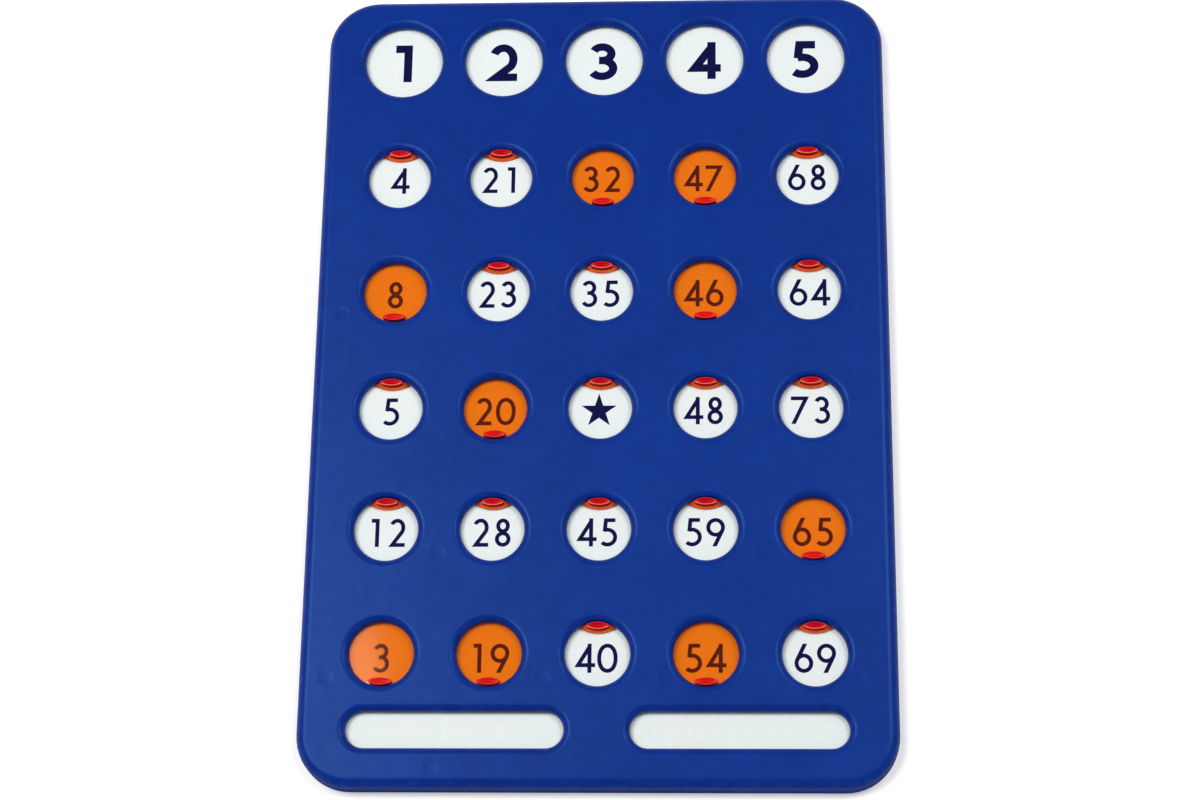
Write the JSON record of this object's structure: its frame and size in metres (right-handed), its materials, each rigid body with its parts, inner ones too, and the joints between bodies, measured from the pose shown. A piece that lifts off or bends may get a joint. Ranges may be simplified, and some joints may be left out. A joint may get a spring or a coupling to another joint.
{
  "type": "bingo card",
  "caption": "Moulded plastic bingo card with round windows over a printed number card and a sliding translucent shutter in each number window.",
  "frame": {"origin": "middle of the flat back, where the card rests", "axes": "+X across the card, +Y along it towards the header windows, +Z out of its face"},
  "size_m": [0.1656, 0.239, 0.007],
  "materials": {
    "shell_blue": "satin moulded plastic with a fine grain",
    "card_white": "matt white card stock",
    "shutter_orange": "clear orange plastic, redder where it is thick",
    "ink_navy": "flat dark blue printing ink"
  },
  "bodies": {
    "card": {"front_shell": "shell_blue", "number_card": "card_white", "back_cover": "shell_blue"},
    "shutter_b1": {"shutter_b1": "shutter_orange"},
    "shutter_b2": {"shutter_b2": "shutter_orange"},
    "shutter_b3": {"shutter_b3": "shutter_orange"},
    "shutter_b4": {"shutter_b4": "shutter_orange"},
    "shutter_b5": {"shutter_b5": "shutter_orange"},
    "shutter_i1": {"shutter_i1": "shutter_orange"},
    "shutter_i2": {"shutter_i2": "shutter_orange"},
    "shutter_i3": {"shutter_i3": "shutter_orange"},
    "shutter_i4": {"shutter_i4": "shutter_orange"},
    "shutter_i5": {"shutter_i5": "shutter_orange"},
    "shutter_n1": {"shutter_n1": "shutter_orange"},
    "shutter_n2": {"shutter_n2": "shutter_orange"},
    "shutter_n3": {"shutter_n3": "shutter_orange"},
    "shutter_n4": {"shutter_n4": "shutter_orange"},
    "shutter_n5": {"shutter_n5": "shutter_orange"},
    "shutter_g1": {"shutter_g1": "shutter_orange"},
    "shutter_g2": {"shutter_g2": "shutter_orange"},
    "shutter_g3": {"shutter_g3": "shutter_orange"},
    "shutter_g4": {"shutter_g4": "shutter_orange"},
    "shutter_g5": {"shutter_g5": "shutter_orange"},
    "shutter_o1": {"shutter_o1": "shutter_orange"},
    "shutter_o2": {"shutter_o2": "shutter_orange"},
    "shutter_o3": {"shutter_o3": "shutter_orange"},
    "shutter_o4": {"shutter_o4": "shutter_orange"},
    "shutter_o5": {"shutter_o5": "shutter_orange"}
  },
  "joints": [
    {"name": "slide_b1", "type": "slide", "parent": "card", "child": "shutter_b1", "axis": [0, 1, 0], "range_m": [-0.0157, 0]},
    {"name": "slide_b2", "type": "slide", "parent": "card", "child": "shutter_b2", "axis": [0, 1, 0], "range_m": [0, 0.0157]},
    {"name": "slide_b3", "type": "slide", "parent": "card", "child": "shutter_b3", "axis": [0, 1, 0], "range_m": [-0.0157, 0]},
    {"name": "slide_b4", "type": "slide", "parent": "card", "child": "shutter_b4", "axis": [0, 1, 0], "range_m": [-0.0157, 0]},
    {"name": "slide_b5", "type": "slide", "parent": "card", "child": "shutter_b5", "axis": [0, 1, 0], "range_m": [0, 0.0157]},
    {"name": "slide_i1", "type": "slide", "parent": "card", "child": "shutter_i1", "axis": [0, 1, 0], "range_m": [-0.0157, 0]},
    {"name": "slide_i2", "type": "slide", "parent": "card", "child": "shutter_i2", "axis": [0, 1, 0], "range_m": [-0.0157, 0]},
    {"name": "slide_i3", "type": "slide", "parent": "card", "child": "shutter_i3", "axis": [0, 1, 0], "range_m": [0, 0.0157]},
    {"name": "slide_i4", "type": "slide", "parent": "card", "child": "shutter_i4", "axis": [0, 1, 0], "range_m": [-0.0157, 0]},
    {"name": "slide_i5", "type": "slide", "parent": "card", "child": "shutter_i5", "axis": [0, 1, 0], "range_m": [0, 0.0157]},
    {"name": "slide_n1", "type": "slide", "parent": "card", "child": "shutter_n1", "axis": [0, 1, 0], "range_m": [0, 0.0157]},
    {"name": "slide_n2", "type": "slide", "parent": "card", "child": "shutter_n2", "axis": [0, 1, 0], "range_m": [-0.0157, 0]},
    {"name": "slide_n3", "type": "slide", "parent": "card", "child": "shutter_n3", "axis": [0, 1, 0], "range_m": [-0.0157, 0]},
    {"name": "slide_n4", "type": "slide", "parent": "card", "child": "shutter_n4", "axis": [0, 1, 0], "range_m": [-0.0157, 0]},
    {"name": "slide_n5", "type": "slide", "parent": "card", "child": "shutter_n5", "axis": [0, 1, 0], "range_m": [-0.0157, 0]},
    {"name": "slide_g1", "type": "slide", "parent": "card", "child": "shutter_g1", "axis": [0, 1, 0], "range_m": [0, 0.0157]},
    {"name": "slide_g2", "type": "slide", "parent": "card", "child": "shutter_g2", "axis": [0, 1, 0], "range_m": [0, 0.0157]},
    {"name": "slide_g3", "type": "slide", "parent": "card", "child": "shutter_g3", "axis": [0, 1, 0], "range_m": [-0.0157, 0]},
    {"name": "slide_g4", "type": "slide", "parent": "card", "child": "shutter_g4", "axis": [0, 1, 0], "range_m": [-0.0157, 0]},
    {"name": "slide_g5", "type": "slide", "parent": "card", "child": "shutter_g5", "axis": [0, 1, 0], "range_m": [0, 0.0157]},
    {"name": "slide_o1", "type": "slide", "parent": "card", "child": "shutter_o1", "axis": [0, 1, 0], "range_m": [-0.0157, 0]},
    {"name": "slide_o2", "type": "slide", "parent": "card", "child": "shutter_o2", "axis": [0, 1, 0], "range_m": [-0.0157, 0]},
    {"name": "slide_o3", "type": "slide", "parent": "card", "child": "shutter_o3", "axis": [0, 1, 0], "range_m": [-0.0157, 0]},
    {"name": "slide_o4", "type": "slide", "parent": "card", "child": "shutter_o4", "axis": [0, 1, 0], "range_m": [0, 0.0157]},
    {"name": "slide_o5", "type": "slide", "parent": "card", "child": "shutter_o5", "axis": [0, 1, 0], "range_m": [-0.0157, 0]}
  ]
}
